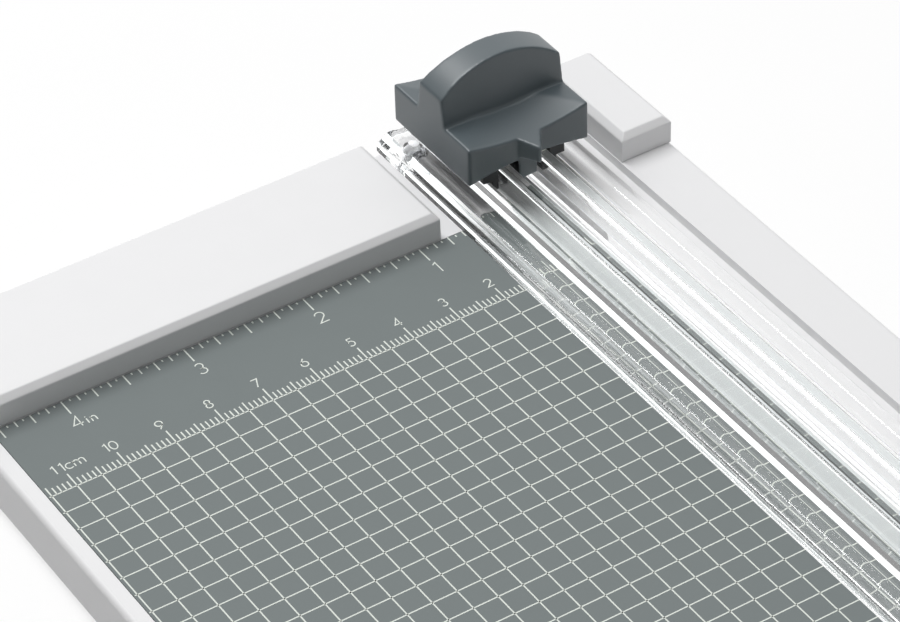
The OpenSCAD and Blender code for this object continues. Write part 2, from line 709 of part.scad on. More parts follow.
// Wedge-shaped nose in front, with a small round tip
module nose() translate([0, 0, skirt_z]) linear_extrude(ledge_z - skirt_z) {
    tip_y = head_y0 - nose_l + nose_tip_r;
    polygon([
        [-nose_half, head_y0 + shell_t / 2], [-nose_half, head_y0], [-nose_tip_r, tip_y],
        [nose_tip_r, tip_y], [nose_half, head_y0], [nose_half, head_y0 + shell_t / 2]
    ]);
    translate([0, tip_y]) circle(r = nose_tip_r);
}

// Thumb scoop over the front ledge: a wide cylinder that leans down to the outer edge
module scoop() translate([0, head_y0, ledge_z - scoop_dip]) rotate([scoop_tilt, 0, 0])
    translate([0, -nose_l - cut, scoop_r]) rotate([-90, 0, 0])
        cylinder(h = nose_l + scoop_run + 2 * cut, r = scoop_r, $fn = 128);

// Inside of the head: box over the carriage, hollow fin, pocket over the cartridge
module head_cavity() {
    inner_half = head_half - shell_t;
    block([-inner_half, head_y0 + shell_t, skirt_z - cut], [inner_half, head_y1 - shell_t, roof_z]);
    intersection() {
        along_y(fin_y0 - cut, fin_y0 + fin_foot_t + cut) fin_front(inner_half, fin_arc_r - shell_t, roof_z - cut);
        along_x(-head_half, head_half) fin_side(shell_t, roof_z - cut);
    }
    block([-cartridge_half - roof_gap, head_mid_y - roof_pocket_l / 2, roof_z - cut],
          [cartridge_half + roof_gap, head_mid_y + roof_pocket_l / 2, roof_pocket_z]);
}

// Dark grey shell with fin, ledges, nose and the tab that covers the cartridge's front
module head_shell() color([0.38, 0.41, 0.43]) placed() difference() {
    union() {
        difference() {
            head_form();
            head_cavity();
            for (y = [head_y0 - nose_l - cut, head_y1 - shell_t])
                translate([0, y, skirt_z + skirt_rise - skirt_arc_r]) rotate([-90, 0, 0])
                    cylinder(h = nose_l + shell_t + cut, r = skirt_arc_r, $fn = 256);
        }
        for (s = [0, 1]) mirror([s, 0, 0])
            block([lip_x0, carriage_y0 + window_wall, skirt_z], [head_half - shell_t / 2, carriage_y1 - window_wall, lip_z1]);
        for (s = [-1, 1]) intersection() {
            post(s * spring_post_x, head_mid_y, spring_seat_z, fin_top_z, 2 * head_spring_r + head_spring_wire);
            along_y(head_y0, head_y1) fin_front(head_half - shell_t / 2, fin_arc_r - shell_t / 2, roof_z);
        }
        for (y = cartridge_screw_y) post(0, y, neck_z1, roof_z + cut / 2, 2 * cartridge_screw_inset);
        block([tab_x0, head_y0, tab_z0], [tab_x1, head_y0 + tab_t, skirt_z + skirt_rise + cut]);
    }
    for (y = cartridge_screw_y)
        post(0, y, neck_z1 - cut, foot_z0 + cartridge_screw_l + 2 * fit_gap, cartridge_screw_d + 2 * fit_gap);
}

// Both halves of the blade cartridge in one piece, before the blade's room is cut
module cartridge_form() {
    along_x(-cartridge_half, cartridge_half) polygon([
        [foot_y0 + foot_chamfer_l, foot_z0], [foot_y1 - foot_chamfer_l, foot_z0],
        [foot_y1, foot_front_z], [foot_y1, foot_z1], [neck_y1, foot_z1], [neck_y1, neck_z1],
        [neck_y0, neck_z1], [neck_y0, foot_z1], [foot_y0, foot_z1], [foot_y0, foot_front_z]
    ]);
    bar_x(-cartridge_half, cartridge_half, head_mid_y, axle_z, arch_r);
}

// One half of the cartridge: s = 0 right, s = 1 left
module cartridge(s) mirror([s, 0, 0]) difference() {
    intersection() {
        difference() {
            cartridge_form();
            block([-cartridge_half - cut, head_y0, foot_z0 - blade_r], [cartridge_half + cut, head_y1, foot_z0]);
        }
        block([0, head_y0, 0], [cartridge_half + cut, head_y1, fin_top_z]);
    }
    bar_x(-cut, blade_pocket_t, head_mid_y, axle_z, blade_pocket_r);
    bar_x(-cut, hub_half + hub_pocket_gap, head_mid_y, axle_z, hub_r + hub_pocket_gap);
    bar_x(-cut, cartridge_half - axle_pocket_end_gap, head_mid_y, axle_z, axle_d / 2 + fit_gap);
    for (y = cartridge_screw_y) {
        post(0, y, foot_z0 - cut, neck_z1 + cut, cartridge_screw_d + 2 * fit_gap);
        post(0, y, foot_z0 - cut, foot_z0 + cartridge_screw_head_h, cartridge_screw_head_d + 2 * fit_gap);
    }
}
module cartridge_left() color([0.13, 0.14, 0.15]) placed() cartridge(1);
module cartridge_right() color([0.13, 0.14, 0.15]) placed() cartridge(0);

// Screws that clamp the cartridge halves up into the head
module cartridge_screws() color([0.7, 0.71, 0.73]) placed() for (y = cartridge_screw_y) {
    post(0, y, foot_z0, foot_z0 + cartridge_screw_head_h - fit_gap, cartridge_screw_head_d);
    post(0, y, foot_z0, foot_z0 + cartridge_screw_l, cartridge_screw_d);
}

// Steel pin that the blade turns on
module blade_axle() color([0.75, 0.76, 0.78]) placed()
    bar_x(-cartridge_half + axle_end_gap, cartridge_half - axle_end_gap, head_mid_y, axle_z, axle_d / 2);

// Round blade with a ground edge
module blade_disc() color([0.8, 0.81, 0.83]) placed()
    translate([0, head_mid_y, axle_z]) rotate([0, 90, 0]) rotate_extrude() polygon([
        [hub_neck_r + fit_gap, -blade_t / 2], [blade_r - blade_bevel_w, -blade_t / 2], [blade_r, 0],
        [blade_r - blade_bevel_w, blade_t / 2], [hub_neck_r + fit_gap, blade_t / 2]
    ]);

// Bush in the blade, with a flange on one side
module blade_hub() color([0.85, 0.7, 0.35]) placed() difference() {
    union() {
        bar_x(-hub_half, hub_half, head_mid_y, axle_z, hub_neck_r);
        bar_x(blade_t / 2 + fit_gap, hub_half, head_mid_y, axle_z, hub_r);
    }
    bar_x(-hub_half - cut, hub_half + cut, head_mid_y, axle_z, axle_d / 2 + fit_gap);
}

base_housing();
bottom_cover();
rubber_feet();
bottom_cover_screws();
measuring_plate();
cutting_strip();
fence_bar();
fence_screws();
right_end_block();
end_block_screws();
rail_lift_springs();
clamp_rail();
rail_guide_screws();
slot_end_bumpers();
carriage();
glide_pads();
head_springs();
head_shell();
cartridge_left();
cartridge_right();
blade_axle();
cartridge_screws();
blade_disc();
blade_hub();
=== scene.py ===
"""Desk paper trimmer with a sliding cutter head: its finishes, printed scales, light and camera."""

import math

import bmesh
import bpy
from mathutils import Matrix, Vector


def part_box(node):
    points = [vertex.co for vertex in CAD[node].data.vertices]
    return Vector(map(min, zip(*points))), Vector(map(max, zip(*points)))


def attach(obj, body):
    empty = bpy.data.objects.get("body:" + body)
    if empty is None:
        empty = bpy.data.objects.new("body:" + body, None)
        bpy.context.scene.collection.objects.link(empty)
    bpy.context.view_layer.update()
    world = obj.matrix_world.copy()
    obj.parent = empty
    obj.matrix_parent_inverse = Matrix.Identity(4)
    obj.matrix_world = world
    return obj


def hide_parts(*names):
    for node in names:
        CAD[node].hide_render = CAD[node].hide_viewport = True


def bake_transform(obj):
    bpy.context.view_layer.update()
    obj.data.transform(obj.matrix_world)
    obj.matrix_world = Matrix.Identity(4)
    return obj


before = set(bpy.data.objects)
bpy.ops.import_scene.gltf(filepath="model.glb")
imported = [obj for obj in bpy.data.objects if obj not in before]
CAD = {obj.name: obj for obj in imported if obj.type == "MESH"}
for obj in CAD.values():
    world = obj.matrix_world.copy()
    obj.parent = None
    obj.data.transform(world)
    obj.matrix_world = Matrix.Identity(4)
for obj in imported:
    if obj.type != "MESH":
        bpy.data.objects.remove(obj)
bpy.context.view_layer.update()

MM = 0.001


# Places: millimetres from the cut line, the fence's front face and the plate's top

def find_origin():
    """Where the cut line meets the fence's front face, at the height of the plate's top."""
    strip_low, strip_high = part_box("cutting_strip")
    fence_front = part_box("fence_bar")[0].y
    plate_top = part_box("measuring_plate")[1].z
    return Vector(((strip_low.x + strip_high.x) / 2, fence_front, plate_top))


ORIGIN = find_origin()


def spot(x, y, z):
    """Point of the scene, in metres, for a place in millimetres."""
    return ORIGIN + Vector((x, y, z)) * MM


def node_box(node):
    """Lowest and highest corner of a CAD node, in millimetres."""
    low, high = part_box(node)
    return (low - ORIGIN) / MM, (high - ORIGIN) / MM


# Shader maths written as expressions

MIX_COLOURS = (6, 7)
MIX_RESULT = 2


class Value:
    """A number or colour that a finish works out; arithmetic on it adds Math nodes."""

    def __init__(self, finish, socket):
        self.finish = finish
        self.socket = socket

    def __add__(self, other):
        return self.finish.math("ADD", self, other)

    def __mul__(self, other):
        return self.finish.math("MULTIPLY", self, other)

    __radd__ = __add__
    __rmul__ = __mul__


class Finish:
    """The nodes of one material, or of the world."""

    def __init__(self, owner, output="ShaderNodeOutputMaterial"):
        self.owner = owner
        owner.use_nodes = True
        self.tree = owner.node_tree
        self.tree.nodes.clear()
        self.output = self.tree.nodes.new(output)

    def node(self, kind, settings=None, inputs=None, output=0):
        """Adds a node: its settings first, then the values or links of its sockets."""
        node = self.tree.nodes.new(kind)
        for name, setting in (settings or {}).items():
            setattr(node, name, setting)
        for name, value in (inputs or {}).items():
            if isinstance(value, Value):
                self.tree.links.new(value.socket, node.inputs[name])
            else:
                node.inputs[name].default_value = value
        return Value(self, node.outputs[output])

    def math(self, operation, first, second):
        return self.node("ShaderNodeMath", {"operation": operation}, {0: first, 1: second})

    def around(self, share, middle, reach):
        """Number that strays from a middle by up to a reach."""
        return share * (2 * reach) + (middle - reach)

    def noise(self, grain_mm, detail=2.0, stretch=(1, 1, 1)):
        """Noise between 0 and 1 whose grain has a size in millimetres."""
        place = self.node("ShaderNodeTexCoord", output="Object")
        scaled = self.node("ShaderNodeMapping", {}, {"Vector": place, "Scale": stretch})
        scale = 1 / (grain_mm * MM)
        return self.node("ShaderNodeTexNoise", {}, {"Vector": scaled, "Scale": scale, "Detail": detail})

    def blend(self, share, first, second):
        """Mix of two colours by a share."""
        inputs = {"Factor": share, MIX_COLOURS[0]: first, MIX_COLOURS[1]: second}
        return self.node("ShaderNodeMix", {"data_type": "RGBA"}, inputs, MIX_RESULT)

    def clouded(self, share, colour, darker, lighter):
        """Colour that goes from a darker to a lighter shade of itself by a share."""
        return self.blend(share, shade(colour, darker), shade(colour, lighter))

    def bump(self, height, depth_mm):
        inputs = {"Height": height, "Strength": 1.0, "Distance": depth_mm * MM}
        return self.node("ShaderNodeBump", {}, inputs)

    def ray(self, kind):
        """What is known of the light's path: its kind as 1 or 0, or a count of its turns."""
        return self.node("ShaderNodeLightPath", output=kind)

    def mixed(self, share, first, second):
        """Mix of two shaders by a share."""
        return self.node("ShaderNodeMixShader", {}, {0: share, 1: first, 2: second})

    def finish_with(self, shader):
        self.tree.links.new(shader.socket, self.output.inputs["Surface"])
        return self.owner


def srgb(red, green, blue):
    """Linear colour with alpha from display values between 0 and 255."""
    def linear(value):
        value /= 255
        return value / 12.92 if value <= 0.04045 else ((value + 0.055) / 1.055) ** 2.4
    return (linear(red), linear(green), linear(blue), 1.0)


def shade(colour, factor):
    return tuple(min(1.0, part * factor) for part in colour[:3]) + (1.0,)


# Finishes, with their grains and depths in millimetres

FLOW_MARKS_MM = 9
HANDLED_MM = 24
HANDLED_ROUGHNESS = 0.04
BRUSH_MARKS_MM = 0.12
BRUSHED_ROUGHNESS = 0.08
PLATING_CLOUD_MM = 1.5
PLATING_SHADES = (0.92, 1.05)
BLOOM_MM = 2.0
BLOOM_SHADES = (0.85, 1.25)
BLOOM_ROUGHNESS = 0.05
PORES_MM = 0.3
PORE_DEPTH_MM = 0.02
RUBBER_ROUGHNESS = 0.8
RUBBER_GLOSS = 0.3
ACRYLIC_IOR = 1.49
ACRYLIC_CLOUD_MM = 18
ACRYLIC_SHADES = (1, 1.006)
DRAW_LINES_MM = 0.3
DRAW_LINE_STRETCH = (1, 0.008, 1)
DRAW_LINE_DEPTH_MM = 0.0012
# Painted glow of the clear rail: after this many turns inside it, its surface emits a pale light
TRAPPED_AFTER = 3.5
PAINTED_END_GLOW = (0.8, 0.83, 0.825, 1)
NO_PAINTED_GLOW = (0, 0, 0, 1)


def moulded(name, colour, roughness, spark_mm, spark_depth_mm, variation, gloss=0.5):
    """Moulded plastic: an even colour with faint flow marks and a fine spark-eroded grain."""
    finish = Finish(bpy.data.materials.new(name))
    flow = finish.noise(FLOW_MARKS_MM, detail=3)
    handled = finish.noise(HANDLED_MM)
    grain = finish.noise(spark_mm, detail=1)
    shader = finish.node("ShaderNodeBsdfPrincipled", {}, {
        "Base Color": finish.clouded(flow, colour, 1 - variation, 1 + variation),
        "Roughness": finish.around(handled, roughness, HANDLED_ROUGHNESS),
        "Normal": finish.bump(grain, spark_depth_mm),
        "Specular IOR Level": gloss,
    })
    return finish.finish_with(shader)


def steel(name, colour, roughness, brushed=(1, 1, 1), depth_mm=0.002):
    """Bright steel with fine brush marks and slightly cloudy plating."""
    finish = Finish(bpy.data.materials.new(name))
    marks = finish.noise(BRUSH_MARKS_MM, stretch=brushed)
    cloud = finish.noise(PLATING_CLOUD_MM)
    shader = finish.node("ShaderNodeBsdfPrincipled", {}, {
        "Base Color": finish.clouded(cloud, colour, *PLATING_SHADES),
        "Metallic": 1.0,
        "Roughness": finish.around(marks, roughness, BRUSHED_ROUGHNESS),
        "Normal": finish.bump(marks, depth_mm),
    })
    return finish.finish_with(shader)


def rubber(name, colour):
    """Matt rubber with a powdery bloom."""
    finish = Finish(bpy.data.materials.new(name))
    bloom = finish.noise(BLOOM_MM, detail=4)
    pores = finish.noise(PORES_MM)
    shader = finish.node("ShaderNodeBsdfPrincipled", {}, {
        "Base Color": finish.clouded(bloom, colour, *BLOOM_SHADES),
        "Roughness": finish.around(bloom, RUBBER_ROUGHNESS, BLOOM_ROUGHNESS),
        "Specular IOR Level": RUBBER_GLOSS,
        "Normal": finish.bump(pores, PORE_DEPTH_MM),
    })
    return finish.finish_with(shader)


def clear_acrylic(name, tint, shadow_tint):
    """Clear moulded acrylic that lets the lamp's light through to what is below it.

    Light that has run along inside it for many turns gets a painted glow: its surface emits the pale light
    that its far ends would send.
    """
    finish = Finish(bpy.data.materials.new(name))
    cloud = finish.noise(ACRYLIC_CLOUD_MM)
    drawn = finish.noise(DRAW_LINES_MM, stretch=DRAW_LINE_STRETCH)
    # Painted light: rays that have turned inside more than a few times make the surface emit a pale glow
    painted_glow_share = finish.math("GREATER_THAN", finish.ray("Glossy Depth"), TRAPPED_AFTER)
    shader = finish.node("ShaderNodeBsdfPrincipled", {}, {
        "Base Color": finish.clouded(cloud, tint, *ACRYLIC_SHADES),
        "Roughness": 0.0,
        "IOR": ACRYLIC_IOR,
        "Transmission Weight": 1.0,
        "Emission Color": finish.blend(painted_glow_share, NO_PAINTED_GLOW, PAINTED_END_GLOW),
        "Emission Strength": 1.0,
        "Normal": finish.bump(drawn, DRAW_LINE_DEPTH_MM),
    })
    passed = finish.node("ShaderNodeBsdfTransparent", {}, {"Color": shadow_tint})
    for kind in ("Is Shadow Ray", "Is Diffuse Ray"):
        shader = finish.mixed(finish.ray(kind), shader, passed)
    return finish.finish_with(shader)


FINISHES = {
    "white_plastic": moulded(
        "white_plastic", srgb(236, 236, 237), roughness=0.5,
        spark_mm=0.35, spark_depth_mm=0.006, variation=0.012),
    "cover_plastic": moulded(
        "cover_plastic", srgb(222, 223, 225), roughness=0.55,
        spark_mm=0.4, spark_depth_mm=0.012, variation=0.02),
    "grey_plate": moulded(
        "grey_plate", srgb(127, 134, 134), roughness=0.75,
        spark_mm=0.3, spark_depth_mm=0.004, variation=0.02, gloss=0.05),
    "print_ink": moulded(
        "print_ink", srgb(230, 235, 228), roughness=0.75,
        spark_mm=0.2, spark_depth_mm=0.001, variation=0.01, gloss=0.05),
    "strip_plastic": moulded(
        "strip_plastic", srgb(222, 227, 227), roughness=0.45,
        spark_mm=0.4, spark_depth_mm=0.003, variation=0.015),
    "head_plastic": moulded(
        "head_plastic", srgb(76, 87, 92), roughness=0.4,
        spark_mm=0.3, spark_depth_mm=0.005, variation=0.02, gloss=0.9),
    "black_plastic": moulded(
        "black_plastic", srgb(32, 34, 36), roughness=0.4,
        spark_mm=0.3, spark_depth_mm=0.004, variation=0.05),
    "pad_plastic": moulded(
        "pad_plastic", srgb(233, 233, 224), roughness=0.35,
        spark_mm=0.4, spark_depth_mm=0.003, variation=0.02),
    "clear_plastic": clear_acrylic(
        "clear_plastic", tint=(0.997, 0.999, 0.999, 1), shadow_tint=(0.99, 0.99, 0.99, 1)),
    "rubber": rubber("rubber", srgb(52, 53, 55)),
    "screw_steel": steel("screw_steel", srgb(196, 198, 202), roughness=0.32),
    "nickel_plate": steel("nickel_plate", srgb(236, 237, 239), roughness=0.5, depth_mm=0.0003),
    "spring_steel": steel("spring_steel", srgb(188, 190, 194), roughness=0.28),
    "blade_steel": steel("blade_steel", srgb(208, 210, 214), roughness=0.2, brushed=(1, 6, 6)),
    "brass": steel("brass", srgb(206, 176, 106), roughness=0.3),
}


# Making meshes

MERGE_MM = 0.002
FLAT_DEGREES = 0.4


def add_object(name, data):
    thing = bpy.data.objects.new(name, data)
    bpy.context.scene.collection.objects.link(thing)
    return thing


def plain_mesh(carrier):
    """The mesh that an object's modifiers make of it; the object itself goes."""
    evaluated = carrier.evaluated_get(bpy.context.evaluated_depsgraph_get())
    mesh = bpy.data.meshes.new_from_object(evaluated)
    bpy.data.objects.remove(carrier)
    return mesh


def with_modifiers(mesh, steps):
    """The mesh after a row of modifiers, each a type and its settings."""
    carrier = add_object("carrier", mesh)
    for number, (kind, settings) in enumerate(steps):
        modifier = carrier.modifiers.new(f"step{number}", kind)
        for name, value in settings.items():
            setattr(modifier, name, value)
    return plain_mesh(carrier)


def joined_copy(node):
    """Copy of a CAD node's mesh with its triangles joined into whole faces."""
    mesh = CAD[node].data.copy()
    work = bmesh.new()
    work.from_mesh(mesh)
    bmesh.ops.remove_doubles(work, verts=work.verts, dist=MERGE_MM * MM)
    bmesh.ops.dissolve_limit(
        work, angle_limit=math.radians(FLAT_DEGREES), verts=work.verts, edges=work.edges,
    )
    work.to_mesh(mesh)
    work.free()
    if "custom_normal" in mesh.attributes:
        mesh.attributes.remove(mesh.attributes["custom_normal"])
    return mesh


def rounded(mesh, width_mm, segments, least_degrees, sharp_degrees):
    """The mesh with its sharp edges rounded, and shaded smoothly up to an angle."""
    mesh = with_modifiers(mesh, [("BEVEL", {
        "width": width_mm * MM, "segments": segments, "limit_method": "ANGLE",
        "angle_limit": math.radians(least_degrees), "use_clamp_overlap": True,
    })])
    mesh.shade_smooth()
    mesh.set_sharp_from_angle(angle=math.radians(sharp_degrees))
    return with_modifiers(mesh, [("WEIGHTED_NORMAL", {"keep_sharp": True})])


def skin(work, rings, capped=True):
    """Adds the faces between each ring of corners and the next, and those of the two ends."""
    for near, far in zip(rings, rings[1:]):
        for side in range(len(near)):
            other = (side + 1) % len(near)
            work.faces.new((near[side], near[other], far[other], far[side]))
    if capped:
        work.faces.new(rings[0])
        work.faces.new(rings[-1])


def closed_mesh(name, work):
    """Mesh of what was built, with its faces turned outwards."""
    bmesh.ops.recalc_face_normals(work, faces=work.faces)
    mesh = bpy.data.meshes.new(name)
    work.to_mesh(mesh)
    work.free()
    return mesh


def bar_along_y(outline, y0, y1):
    """Closed mesh of an outline in x and z drawn out along y, in millimetres."""
    work = bmesh.new()
    skin(work, [[work.verts.new(spot(x, y, z)) for x, z in outline] for y in (y0, y1)])
    return closed_mesh("bar", work)


def block(x0, x1, y0, y1, z0, z1):
    """Closed box between six planes, in millimetres."""
    return bar_along_y([(x0, z0), (x1, z0), (x1, z1), (x0, z1)], y0, y1)


def carved(mesh, cutters):
    """The mesh with other meshes cut out of it."""
    for cutter in cutters:
        tool = add_object("cutter", cutter)
        mesh = with_modifiers(mesh, [
            ("BOOLEAN", {"object": tool, "operation": "DIFFERENCE", "solver": "EXACT"}),
        ])
        bpy.data.objects.remove(tool)
    return mesh


# Dressing pieces

EDGE_SEGMENTS = 3
SHARP_DEGREES = 40


def new_piece(name, mesh, finish, body, stands_for=()):
    """Puts a finished mesh, already in its place, on the body that carries it."""
    piece = add_object(name, mesh)
    mesh.materials.clear()
    mesh.materials.append(FINISHES[finish])
    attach(piece, body)
    if stands_for:
        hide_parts(*stands_for)


def soft_edged(node, name, finish, body, width_mm, least_angle=28):
    """Piece that stands for a CAD node, with its sharp edges rounded as a mould leaves them."""
    mesh = rounded(joined_copy(node), width_mm, EDGE_SEGMENTS, least_angle, SHARP_DEGREES)
    new_piece(name, mesh, finish, body, stands_for=[node])


# Base with its recess, fence, end block, cover and feet, and the plain parts of the other bodies

soft_edged("base_housing", "base_shell", "white_plastic", "base", 0.25)
soft_edged("fence_bar", "fence_stop", "white_plastic", "base", 0.3)
soft_edged("right_end_block", "end_block", "white_plastic", "base", 0.3)
soft_edged("bottom_cover", "underside_cover", "cover_plastic", "base", 0.2)
soft_edged("measuring_plate", "scale_plate", "grey_plate", "base", 0.08)
soft_edged("cutting_strip", "blade_strip", "strip_plastic", "base", 0.2)
soft_edged("rubber_feet", "feet", "rubber", "base", 0.3)
soft_edged("slot_end_bumpers", "slot_bumpers", "rubber", "rail", 0.15)
soft_edged("carriage", "sliding_carriage", "black_plastic", "carriage", 0.2)
soft_edged("cartridge_left", "cartridge_half_left", "black_plastic", "head", 0.15)
soft_edged("cartridge_right", "cartridge_half_right", "black_plastic", "head", 0.15)

soft_edged("glide_pads", "rail_glides", "pad_plastic", "carriage", 0.08)
soft_edged("bottom_cover_screws", "cover_screws", "screw_steel", "base", 0.12)
soft_edged("fence_screws", "fence_stop_screws", "screw_steel", "base", 0.12)
soft_edged("end_block_screws", "block_screws", "screw_steel", "base", 0.12)
soft_edged("rail_guide_screws", "guide_screws", "nickel_plate", "rail", 0.12)
soft_edged("cartridge_screws", "cartridge_clamp_screws", "screw_steel", "head", 0.1)
soft_edged("blade_axle", "blade_pin", "spring_steel", "head", 0.06)
soft_edged("blade_disc", "round_blade", "blade_steel", "blade", 0.03, least_angle=60)
soft_edged("blade_hub", "blade_boss", "brass", "blade", 0.05)


# Coil springs

WIRE_SIDES = 10
STEPS_A_TURN = 28
UP = Vector((0, 0, 1))


def coil(x, y, low_z, high_z, radius, wire, turns):
    """Closed mesh of a round wire wound up along z, in millimetres."""
    steps = STEPS_A_TURN * turns
    climb = high_z - low_z - wire
    ways = [2 * math.pi * side / WIRE_SIDES for side in range(WIRE_SIDES)]
    work = bmesh.new()
    rings = []
    for step in range(steps + 1):
        turn = 2 * math.pi * turns * step / steps
        out = Vector((math.cos(turn), math.sin(turn), 0))
        middle = Vector((x, y, low_z + wire / 2 + climb * step / steps)) + out * radius
        rings.append([
            work.verts.new(spot(*(middle + wire / 2 * (math.cos(way) * out + math.sin(way) * UP))))
            for way in ways
        ])
    skin(work, rings)
    mesh = closed_mesh("coil", work)
    mesh.shade_smooth()
    mesh.materials.append(FINISHES["spring_steel"])
    return mesh


def coil_springs(node, name, places, low_z, high_z, radius, wire, turns):
    """One object per spring, made in its place in place of the CAD node."""
    for number, (x, y) in enumerate(places, 1):
        spring = add_object(f"{name}_{number}", coil(x, y, low_z, high_z, radius, wire, turns))
        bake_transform(spring)
        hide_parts(node)


coil_springs(
    "rail_lift_springs", "rail_spring",
    places=[(x, y) for y in (24, -337.05) for x in (-11.05, 11.05)],
    low_z=-4.3, high_z=0.8, radius=2.2, wire=0.6, turns=4,
)
coil_springs(
    "head_springs", "head_spring",
    places=[(x, 13.4) for x in (-7.5, 7.5)],
    low_z=11.5, high_z=18.5, radius=1.8, wire=0.5, turns=6,
)


# Cutter head: one moulding with soft edges and inner corners

HEAD_VOXEL_MM = 0.24
HEAD_SMOOTHING = 14
SMOOTHING_SHARE = 0.5
NOSE_FOOT_Z = 11.4
NOSE_CUT = {"x0": -4, "x1": 4, "y0": -6, "y1": 0.35, "z0": 5, "z1": NOSE_FOOT_Z}


def cutter_head():
    """The head, without the part of its nose that the real one lacks above the slot."""
    mesh = with_modifiers(carved(joined_copy("head_shell"), [block(**NOSE_CUT)]), [
        ("REMESH", {"mode": "VOXEL", "voxel_size": HEAD_VOXEL_MM * MM}),
        ("SMOOTH", {"factor": SMOOTHING_SHARE, "iterations": HEAD_SMOOTHING}),
    ])
    mesh.shade_smooth()
    new_piece("cutter_head", mesh, "head_plastic", "head", ["head_shell"])


cutter_head()


# Clear rail. Its section is in millimetres from the cut line and from the rail's own foot

RAIL_LOW, RAIL_HIGH = node_box("clamp_rail")
RAIL_Z = RAIL_LOW.z
RAIL_HALF = RAIL_HIGH.x
RAIL_EDGE_MM = 0.12
SLOT_NEAR, SLOT_FAR = (end.y for end in node_box("slot_end_bumpers"))
SLOT_HALF = 2.9
RIDGE_OUT = 5.5
RIDGE_TOP = RAIL_HIGH.z - RAIL_LOW.z
RIDGE_EDGE_R = 0.5
WEB_TOP = 2.4
GROOVE_OUT = 7.6
CREST_TOP = 3.2
SHOULDER_TOP = 5.5
FOOT_BEVEL = 0.15
CUT_PAST = 1
RUN_STEP = 0.05
# Right half past the slot's ends, from the outer foot to the middle: places, and the angle in
# degrees by which the run up to each of them turns
SECTION = [
    ((RAIL_HALF - FOOT_BEVEL, 0), 0),
    ((RAIL_HALF, FOOT_BEVEL), 0),
    ((RAIL_HALF, 1.33), 0),
    ((RAIL_HALF - 0.72, 2.32), 27),
    ((RAIL_HALF - 2.43, 3.46), 2.2),
    ((RAIL_HALF - 4.03, 3.45), 53),
    ((RAIL_HALF - 5.03, CREST_TOP), -19),
    ((9.95, CREST_TOP), 0),
    ((8.9, 5.1), 31),
    ((8.25, SHOULDER_TOP), 5),
    ((GROOVE_OUT, SHOULDER_TOP), 0),
    ((GROOVE_OUT, CREST_TOP), 0),
    ((RIDGE_OUT, CREST_TOP), 0),
    ((RIDGE_OUT, RIDGE_TOP - RIDGE_EDGE_R), 0),
    ((RIDGE_OUT - RIDGE_EDGE_R, RIDGE_TOP), 90),
    ((SLOT_HALF + RIDGE_EDGE_R, RIDGE_TOP), 0),
    ((SLOT_HALF, RIDGE_TOP - RIDGE_EDGE_R), 90),
    ((SLOT_HALF, CREST_TOP), 0),
]


def run(start, end, degrees):
    """Points after the start up to the end, on a run that turns by an angle."""
    if not degrees:
        return [end]
    chord = end - start
    turn = math.radians(degrees)
    steps = math.ceil(abs(turn) / RUN_STEP)
    way = math.atan2(chord.y, chord.x) - turn / 2
    points = []
    for step in range(1, steps + 1):
        half = turn * step / steps / 2
        reach = chord.length * math.sin(half) / math.sin(turn / 2)
        points.append(start + reach * Vector((math.cos(way + half), math.sin(way + half))))
    return points


def rail_outline():
    """Whole section of the rail, its left half a mirror of its right one."""
    places = [Vector(place) for place, _ in SECTION]
    right = places[:1]
    for start, end, (_, degrees) in zip(places, places[1:], SECTION[1:]):
        right += run(start, end, degrees)
    left = [Vector((-point.x, point.y)) for point in reversed(right)]
    return [point + Vector((0, RAIL_Z)) for point in right + left]


def clear_rail():
    """The rail, with its slot and a groove beside each ridge cut between the slot's ends."""
    body = bar_along_y(rail_outline(), RAIL_LOW.y, RAIL_HIGH.y)
    low = RAIL_Z - CUT_PAST
    web = RAIL_Z + WEB_TOP
    high = RAIL_Z + RIDGE_TOP + CUT_PAST
    cuts = ((-SLOT_HALF, SLOT_HALF, low), (RIDGE_OUT, GROOVE_OUT, web), (-GROOVE_OUT, -RIDGE_OUT, web))
    mesh = carved(body, [block(x0, x1, SLOT_NEAR, SLOT_FAR, z0, high) for x0, x1, z0 in cuts])
    mesh = rounded(mesh, RAIL_EDGE_MM, segments=4, least_degrees=60, sharp_degrees=5)
    new_piece("clear_rail", mesh, "clear_plastic", "rail", ["clamp_rail"])


clear_rail()


# Printed scales: ruled lines and ticks as thin ink on the plate

INK = 0.02
PLATE_LOW, PLATE_HIGH = node_box("measuring_plate")
SCALE_Y = -21.4
INCH = 25.4
RULED_INPUTS = {
    "Geometry": "Geometry", "First place": "Vector", "Step": "Vector", "Bar size": "Vector",
    "Count": "Int", "Left out": "Int", "Ink": "Material",
}


